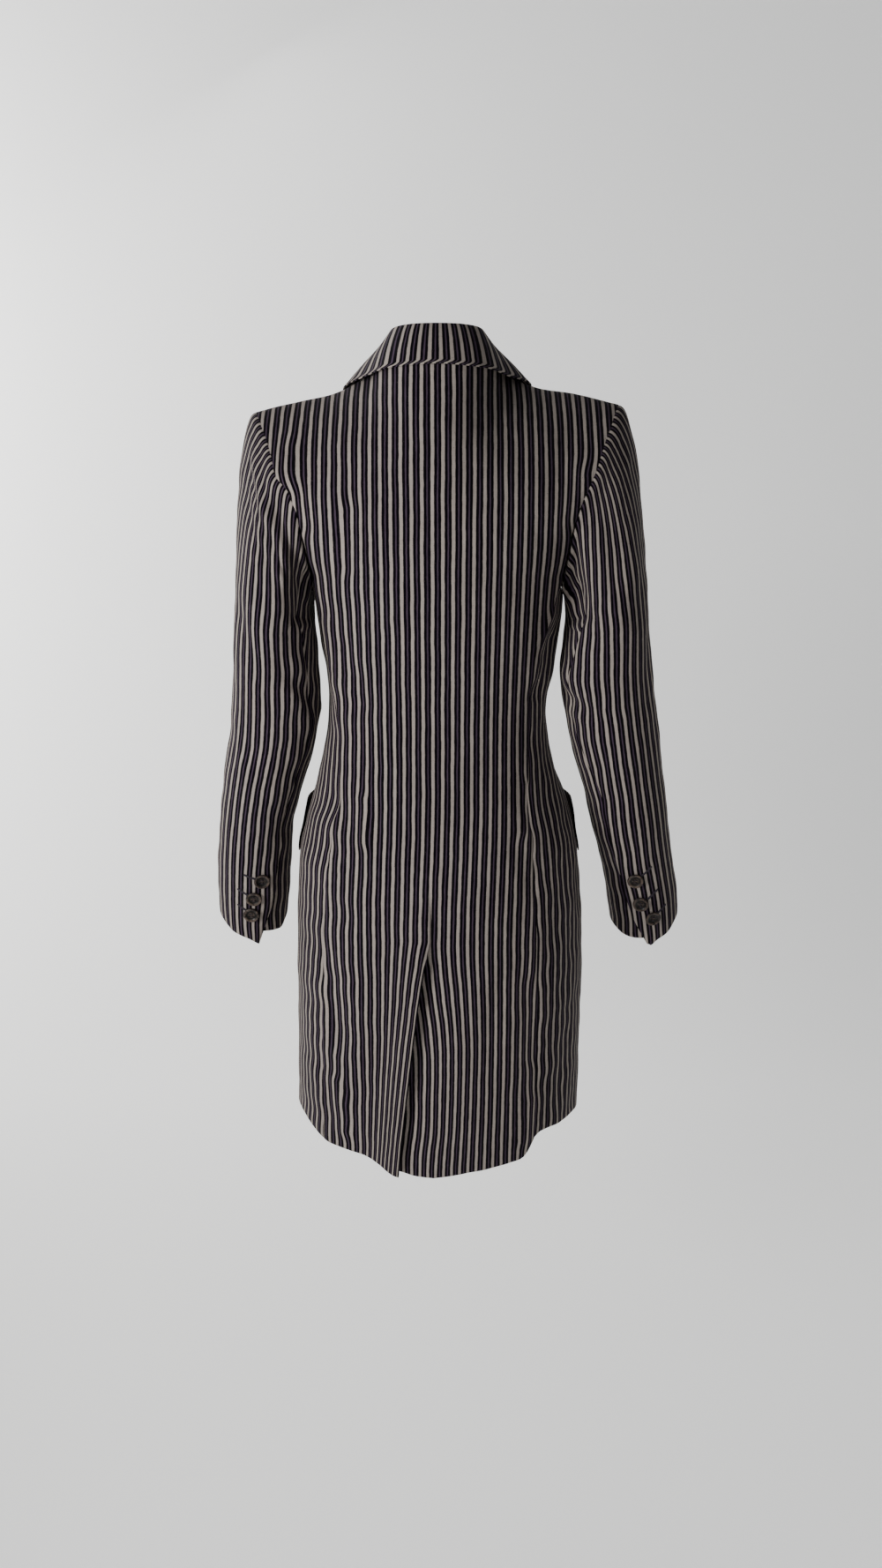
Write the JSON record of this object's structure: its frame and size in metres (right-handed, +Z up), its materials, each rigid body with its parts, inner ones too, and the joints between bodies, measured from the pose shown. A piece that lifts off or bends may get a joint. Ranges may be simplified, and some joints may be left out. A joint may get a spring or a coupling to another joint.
{
  "type": "linen jacket",
  "caption": "Long fitted jacket of striped linen as worn, open at neck, hem and cuffs, with notched lapels, hip pocket flaps, buttoned sleeve vents and a centre back vent.",
  "frame": {"origin": "between the shoulders, level with the base of the collar at the back, on the plane of the shoulder seams", "axes": "+X to the wearer's left, -Y to the wearer's front, +Z up"},
  "size_m": [0.5712, 0.2829, 0.9378],
  "materials": {
    "striped_linen": "matt plain-weave linen in thin stripes",
    "dark_horn": "satin dark horn"
  },
  "bodies": {
    "root": {"back_left": "striped_linen", "back_right": "striped_linen", "side_left": "striped_linen", "side_right": "striped_linen", "front_left": "striped_linen", "front_right": "striped_linen", "lapel_left": "striped_linen", "lapel_right": "striped_linen", "collar": "striped_linen", "upper_sleeve_left": "striped_linen", "upper_sleeve_right": "striped_linen", "under_sleeve_left": "striped_linen", "under_sleeve_right": "striped_linen", "pocket_flap_left": "striped_linen", "pocket_flap_right": "striped_linen", "cuff_button_left_1": "dark_horn", "cuff_button_left_2": "dark_horn", "cuff_button_left_3": "dark_horn", "cuff_button_right_1": "dark_horn", "cuff_button_right_2": "dark_horn", "cuff_button_right_3": "dark_horn", "front_button_1": "dark_horn", "front_button_2": "dark_horn", "front_button_3": "dark_horn"}
  },
  "joints": []
}
